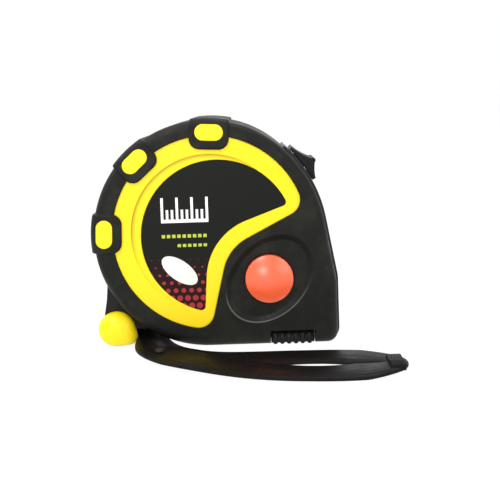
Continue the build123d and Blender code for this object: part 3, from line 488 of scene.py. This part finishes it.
# ---------------------------------------------------------------- front label
# A dark printed film in its pocket, with white scale marks, dashed lines, a plain white lozenge and a field
# of dots that thin out. It carries no words.
film, tree, shader = new_material("label_film")
finish(film, {"Roughness": 0.42, "Specular IOR Level": 0.12})
in_mm = tree.nodes.new("ShaderNodeVectorMath")
in_mm.operation = "SCALE"
in_mm.inputs["Scale"].default_value = 1000.0
feed(tree, in_mm.inputs[0], own_place(tree))
parts = tree.nodes.new("ShaderNodeSeparateXYZ")
feed(tree, parts.inputs[0], in_mm.outputs[0])
right, up = parts.outputs["X"], parts.outputs["Z"]


def patch(tree, x_range, z_range):
    """An upright rectangle on the label, in millimetres."""
    sides = []
    for value, (low, high) in ((right, x_range), (up, z_range)):
        sides.append(reckon(tree, "COMPARE", value, (low + high) / 2, (high - low) / 2))
    return reckon(tree, "MULTIPLY", *sides)


def dashed(tree, start, pitch, share, area):
    """Upright dashes that fill this share of each pitch, inside an area."""
    count = reckon(tree, "DIVIDE", reckon(tree, "SUBTRACT", right, start), pitch)
    dash = reckon(tree, "LESS_THAN", reckon(tree, "FRACT", count), share)
    return reckon(tree, "MULTIPLY", dash, area)


# the ground goes from black to a dark red towards the foot
black_above, red_below = 25.0, 10.0
ground = mixed(tree, ranged(tree, up, black_above, red_below), colour(20, 22, 18), colour(48, 8, 10))

# dots in staggered rows that grow towards the foot of the label
dot_pitch = 2.1
dot_widest, dot_first, dot_change = 0.4, 0.76, -0.065
row = reckon(tree, "DIVIDE", up, dot_pitch)
row_count = reckon(tree, "FLOOR", row)
shift = reckon(tree, "MULTIPLY", reckon(tree, "FLOORED_MODULO", row_count, 2.0), 0.5)
column = reckon(tree, "ADD", reckon(tree, "DIVIDE", right, dot_pitch), shift)
aside = reckon(tree, "SUBTRACT", reckon(tree, "FRACT", column), 0.5)
above = reckon(tree, "SUBTRACT", reckon(tree, "FRACT", row), 0.5)
square = reckon(tree, "MULTIPLY_ADD", aside, aside, reckon(tree, "MULTIPLY", above, above))
dot_size = reckon(tree, "MULTIPLY_ADD", row_count, dot_change, dot_first)
dot_size = reckon(tree, "MINIMUM", dot_size, dot_widest)
dots = reckon(tree, "LESS_THAN", reckon(tree, "SQRT", square), dot_size)

# a plain lozenge, tilted
lozenge_x, lozenge_z = -9.3, 21.2
lozenge_long, lozenge_short, lozenge_tilt = 5.6, 2.7, math.radians(-37)
from_x = reckon(tree, "SUBTRACT", right, lozenge_x)
from_z = reckon(tree, "SUBTRACT", up, lozenge_z)
reach = []
for turn, half in ((lozenge_tilt, lozenge_long), (lozenge_tilt + math.pi / 2, lozenge_short)):
    share = reckon(tree, "MULTIPLY", from_z, math.sin(turn) / half)
    share = reckon(tree, "MULTIPLY_ADD", from_x, math.cos(turn) / half, share)
    reach.append(reckon(tree, "MULTIPLY", share, share))
lozenge = reckon(tree, "LESS_THAN", reckon(tree, "ADD", *reach), 1.0)

# bold white scale marks that stand on a base line: short ones, and a long one at each third
mark_start, mark_end, mark_pitch, mark_share = -13.8, -1.07, 1.34, 0.5
mark_foot, base_top, short_top, long_top = 34.2, 35.1, 37.7, 41.0
marks = patch(tree, (mark_start, mark_end), (mark_foot, base_top))
for every, top in ((1, short_top), (3, long_top)):
    tall = patch(tree, (mark_start, mark_end), (mark_foot, top))
    marks = either(tree, marks, dashed(tree, mark_start, every * mark_pitch, mark_share / every, tall))

# two dashed lines below them, which end together
dash_end, dash_pitch, dash_share = -1.4, 1.4, 0.66
lines = []
for dash_start, dash_low, dash_high in ((-13.8, 30.1, 31.0), (-9.6, 27.6, 28.4)):
    area = patch(tree, (dash_start, dash_end), (dash_low, dash_high))
    lines.append(dashed(tree, dash_start, dash_pitch, dash_share, area))

printed = ground
for mask, ink in (
    (dots, colour(158, 50, 56)),
    (either(tree, *lines), colour(186, 196, 72)),
    (lozenge, colour(236, 234, 226)),
    (marks, colour(250, 250, 248)),
):
    printed = mixed(tree, mask, printed, ink)
feed(tree, shader.inputs["Base Color"], printed)
dress(film, "front_label")

# ---------------------------------------------------------------- belt clip
# One strip of nickel-plated spring steel. It is bent away from the back to hold a belt, and a single screw
# fixes its upper end.
dress(metal("clip_steel", colour(196, 196, 192), 0.28, along=(4.0, 1.0, 0.3)), "belt_clip")

# ---------------------------------------------------------------- strap caps
# Pebble-shaped caps in the case's yellow plastic, pressed on the ends of the pin that the strap loops round.
# Each is drawn out a little to one corner.
cap_corner, cap_corner_wide, cap_corner_out = math.radians(-35), math.radians(24), 0.0014
cap_wide, cap_left, cap_gap = 1.05, 0.0006, 0.0001
cap_shoulder, cap_bulge, cap_tip = 0.8, 0.9, 0.02
cap_turns, cap_steps = 72, 14


def cap_radius(turn, radius):
    """How far the cap reaches from its middle at this turn, with a soft swelling at its corner."""
    away = (turn + math.pi) % (2 * math.pi) - math.pi - cap_corner
    return radius + cap_corner_out * math.exp(-((away / cap_corner_wide) ** 2))


def pebble(name, side):
    """A domed cap that starts at its cheek and bulges out; side is -1 at the label, 1 at the clip."""
    low, high = (Vector(corner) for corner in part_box(name))
    radius = (high.z - low.z) / 2 - cap_gap
    centre = Vector((low.x + radius - cap_left, low.y if side > 0 else high.y, low.z + radius))
    deep = high.y - low.y
    rings = []
    for i in range(cap_steps + 1):
        climb = math.pi / 2 * i / cap_steps
        share = max(cap_tip, math.cos(climb) ** cap_shoulder)
        out = side * deep * math.sin(climb) ** cap_bulge
        ring = []
        for j in range(cap_turns):
            turn = 2 * math.pi * j / cap_turns
            reach = share * cap_radius(turn, radius)
            ring.append(centre + Vector((cap_wide * reach * math.cos(turn), out, reach * math.sin(turn))))
        rings.append(ring)
    piece = skin(name + "_pebble", rings, [deep * i / cap_steps for i in range(cap_steps + 1)], yellow)
    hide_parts(name)
    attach(piece, "case")


pebble("strap_cap_front", -1)
pebble("strap_cap_rear", 1)

# ---------------------------------------------------------------- wrist strap
# A soft vinyl band that loops round the pin, passes under the belly, lies along the floor and comes back. It
# is narrow at the lug and where it folds at its far end, and one steel rivet closes it near the lug.
strap_run = [
    (-24.5, -1.6, 4.35),
    (-22.8, -3.8, 3.4),
    (-20.8, -7.0, 2.4),
    (-18.9, -11.8, 1.9),
    (-18.3, -17.6, 1.8),
    (-16.2, -23.2, 1.9),
    (-11.4, -28.4, 1.9),
    (-3.2, -33.0, 1.6),
    (6.6, -37.2, 1.0),
    (17.4, -40.4, 0.6),
    (28.4, -41.6, 0.5),
    (37.2, -40.8, 0.5),
    (42.2, -39.2, 0.6),
    (45.0, -37.4, 0.6),
    (45.4, -34.4, 0.6),
    (42.4, -32.0, 0.6),
    (36.6, -30.0, 0.5),
    (28.4, -28.4, 0.5),
    (19.0, -28.2, 0.5),
    (9.4, -28.9, 0.5),
    (0.4, -28.4, 0.5),
    (-6.8, -26.0, 0.6),
    (-11.8, -21.8, 0.6),
    (-15.0, -16.2, 0.55),
    (-16.6, -10.6, 0.6),
    (-18.4, -5.4, 1.3),
    (-21.4, -1.6, 2.6),
    (-24.5, 2.2, 4.35),
]
strap_width = 0.0115
strap_thick = 0.0009
line = bpy.data.curves.new("strap_line", "CURVE")
line.dimensions = "3D"
line.resolution_u = 8
spline = line.splines.new("NURBS")
spline.points.add(len(strap_run) - 1)
for point, place in zip(spline.points, strap_run):
    point.co = (*(v / 1000 for v in place), 1.0)
spline.order_u = 3
spline.use_endpoint_u = True
guide = bpy.data.objects.new("strap_line", line)
bpy.context.collection.objects.link(guide)
traced = bpy.data.meshes.new_from_object(guide)
path = [v.co.copy() for v in traced.vertices]
bpy.data.objects.remove(guide)

run = [0.0]
for before, after in zip(path, path[1:]):
    run.append(run[-1] + (after - before).length)
fold = max(range(len(path)), key=lambda i: path[i].x)

# Shares of the full width: what the band has at the lug, gains over the lug's reach and gains on the slope
# down from it, has at the fold, and loses beside the slit.
lug_share, lug_gain, lug_reach = 0.36, 0.2, 0.012
slope_gain, slope_from, slope_reach = 0.44, 0.014, 0.018
fold_share, fold_reach = 0.5, 0.011
slit_loss, slit_at, slit_reach = 0.19, 0.023, 0.013


def strap_half(distance):
    """Half the band's width: full along the floor, narrow at the lug and at the fold."""
    from_lug = min(distance, run[-1] - distance)
    at_lug = lug_share + lug_gain * min(1.0, from_lug / lug_reach)
    at_lug += slope_gain * max(0.0, from_lug - slope_from) / slope_reach
    from_fold = abs(distance - run[fold])
    at_fold = fold_share + (1.0 - fold_share) * (from_fold / fold_reach) ** 1.5
    at_slit = 1.0 - slit_loss * math.exp(-(((from_fold - slit_at) / slit_reach) ** 2))
    return strap_width / 2 * min(1.0, at_lug, at_fold) * at_slit


vinyl = moulding(
    "strap_vinyl",
    colour(13, 11, 11),
    colour(28, 26, 24),
    0.44,
    grain=1.0,
    depth=0.4,
    waviness=1.5,
    rubbing=0.5,
    bump=0.0001,
)
finish(vinyl, {"Specular IOR Level": 0.1})
# long shallow creases run along the band, over the moulding's own grain
tree = vinyl.node_tree
laid = tree.nodes.new("ShaderNodeUVMap")
laid.uv_map = "UVMap"
drawn = tree.nodes.new("ShaderNodeMapping")
drawn.inputs["Scale"].default_value = (45.0, 22.0, 1.0)
feed(tree, drawn.inputs["Vector"], laid.outputs["UV"])
creases = noise(tree, drawn.outputs["Vector"], scale=1.0, detail=2.0)
relief(tree, tree.nodes["Principled BSDF"], creases, distance=0.00035)

# half the section, from edge to edge over the top, as shares of the half width and of the thickness
over = [(1.0, 0.25), (0.93, 0.5), (0.0, 0.5), (-0.93, 0.5), (-1.0, 0.25)]
section = over + [(side, -up) for side, up in reversed(over)]
rings = []
for i, centre in enumerate(path):
    ahead = path[min(i + 1, len(path) - 1)] - path[max(i - 1, 0)]
    sideways = ahead.cross(Vector((0, 0, 1))).normalized()
    above = sideways.cross(ahead).normalized()
    half = strap_half(run[i])
    rings.append([centre + sideways * (side * half) + above * (up * strap_thick) for side, up in section])
strap = skin("strap_band", rings, run, vinyl)

# The fold at the far end is pressed flat inside a short crimped keeper.
keeper_long, keeper_half, keeper_thick = 0.0036, 0.0046, 0.0016
keeper_past, keeper_high = 0.0016, 0.0009
crimps, crimp_deep = 14, 0.1
stations = [keeper_long * i / (4 * crimps) for i in range(4 * crimps + 1)]
keeper_rings = []
for station in stations:
    pinch = 1.0 - crimp_deep + crimp_deep * math.cos(math.pi * crimps * station / keeper_long)
    centre = Vector((path[fold].x + keeper_past - keeper_long + station, path[fold].y, keeper_high))
    ring = [Vector((0, keeper_half * side, keeper_thick * pinch * up)) for side, up in section]
    keeper_rings.append([centre + corner for corner in ring])
keeper = skin("strap_keeper", keeper_rings, stations, vinyl)
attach(keeper, "case")
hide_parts("wrist_strap")
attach(strap, "case")
dress(metal("rivet_steel", colour(76, 76, 75), 0.45), "strap_rivet")

# ---------------------------------------------------------------- floor, lamps and camera
# A pale floor that keeps a soft shadow, a plain room and five soft lamps. The lens and the reflections see
# floor and room as white; for all other light the floor is plain paper and the room is dim.
floor_size = 30.0
floor_mesh = bmesh.new()
bmesh.ops.create_grid(floor_mesh, x_segments=1, y_segments=1, size=floor_size)
sheet = bpy.data.meshes.new("floor")
floor_mesh.to_mesh(sheet)
floor_mesh.free()
floor = bpy.data.objects.new("floor", sheet)
bpy.context.collection.objects.link(floor)


def looked_at(tree):
    """1 for the rays that see a surface, and 0 for those that it only lights."""
    ray = tree.nodes.new("ShaderNodeLightPath").outputs
    seen = reckon(tree, "MAXIMUM", ray["Is Camera Ray"], ray["Is Transmission Ray"])
    return reckon(tree, "MAXIMUM", seen, ray["Is Glossy Ray"])


pale, tree, shader = new_material("floor_paper")
finish(pale, {"Base Color": (0.92, 0.92, 0.92, 1.0), "Roughness": 0.9, "Specular IOR Level": 0.0})
glow_share, glow_strength = 0.88, 1.09
glow = tree.nodes.new("ShaderNodeEmission")
glow.inputs["Strength"].default_value = glow_strength
blend = tree.nodes.new("ShaderNodeMixShader")
feed(tree, blend.inputs[0], reckon(tree, "MULTIPLY", looked_at(tree), glow_share))
feed(tree, blend.inputs[1], shader.outputs[0])
feed(tree, blend.inputs[2], glow.outputs[0])
feed(tree, tree.nodes["Material Output"].inputs["Surface"], blend.outputs[0])
sheet.materials.append(pale)

room_light, room_white = 0.45, 1.0
room = bpy.data.worlds.new("room")
bpy.context.scene.world = room
room.use_nodes = True
tree = room.node_tree
walls = tree.nodes["Background"]
walls.inputs["Color"].default_value = (1, 1, 1, 1)
feed(tree, walls.inputs["Strength"], ranged(tree, looked_at(tree), 0.0, 1.0, room_light, room_white))

lamp_aim = Vector((0, 0, 0.03))
for name, place, size, power in (
    ("key_lamp", (-0.25, -0.45, 0.6), 0.3, 2.6),
    ("front_lamp", (-0.12, -0.55, 0.13), 0.12, 0.6),
    ("fill_lamp", (0.45, -0.5, 0.25), 0.4, 1.1),
    ("side_lamp", (-0.45, 0.0, 0.42), 0.22, 1.0),
    ("top_lamp", (0.0, 0.1, 0.7), 0.5, 2.1),
):
    light = bpy.data.lights.new(name, "AREA")
    light.size = size
    light.energy = power
    lamp = bpy.data.objects.new(name, light)
    bpy.context.collection.objects.link(lamp)
    lamp.location = place
    lamp.rotation_euler = (lamp_aim - Vector(place)).to_track_quat("-Z", "Y").to_euler()

# The lens stands above the case, looks a little down, and is shifted the rest of the way, so that upright
# edges stay nearly upright.
view = bpy.data.cameras.new("camera")
view.sensor_width, view.lens = 36.0, 59.55
view.shift_x, view.shift_y = -0.0042, -0.2028
view.clip_start = 0.01
tilt, pitch = math.radians(-1.9), math.radians(3.5)
camera = bpy.data.objects.new("camera", view)
bpy.context.collection.objects.link(camera)
camera.location = (0.0113, -0.236, 0.067)
aim = Matrix.Rotation(math.radians(90) - pitch, 3, "X") @ Matrix.Rotation(tilt, 3, "Z")
camera.rotation_euler = aim.to_euler()
bpy.context.scene.camera = camera
bpy.context.scene.view_settings.view_transform = "Standard"
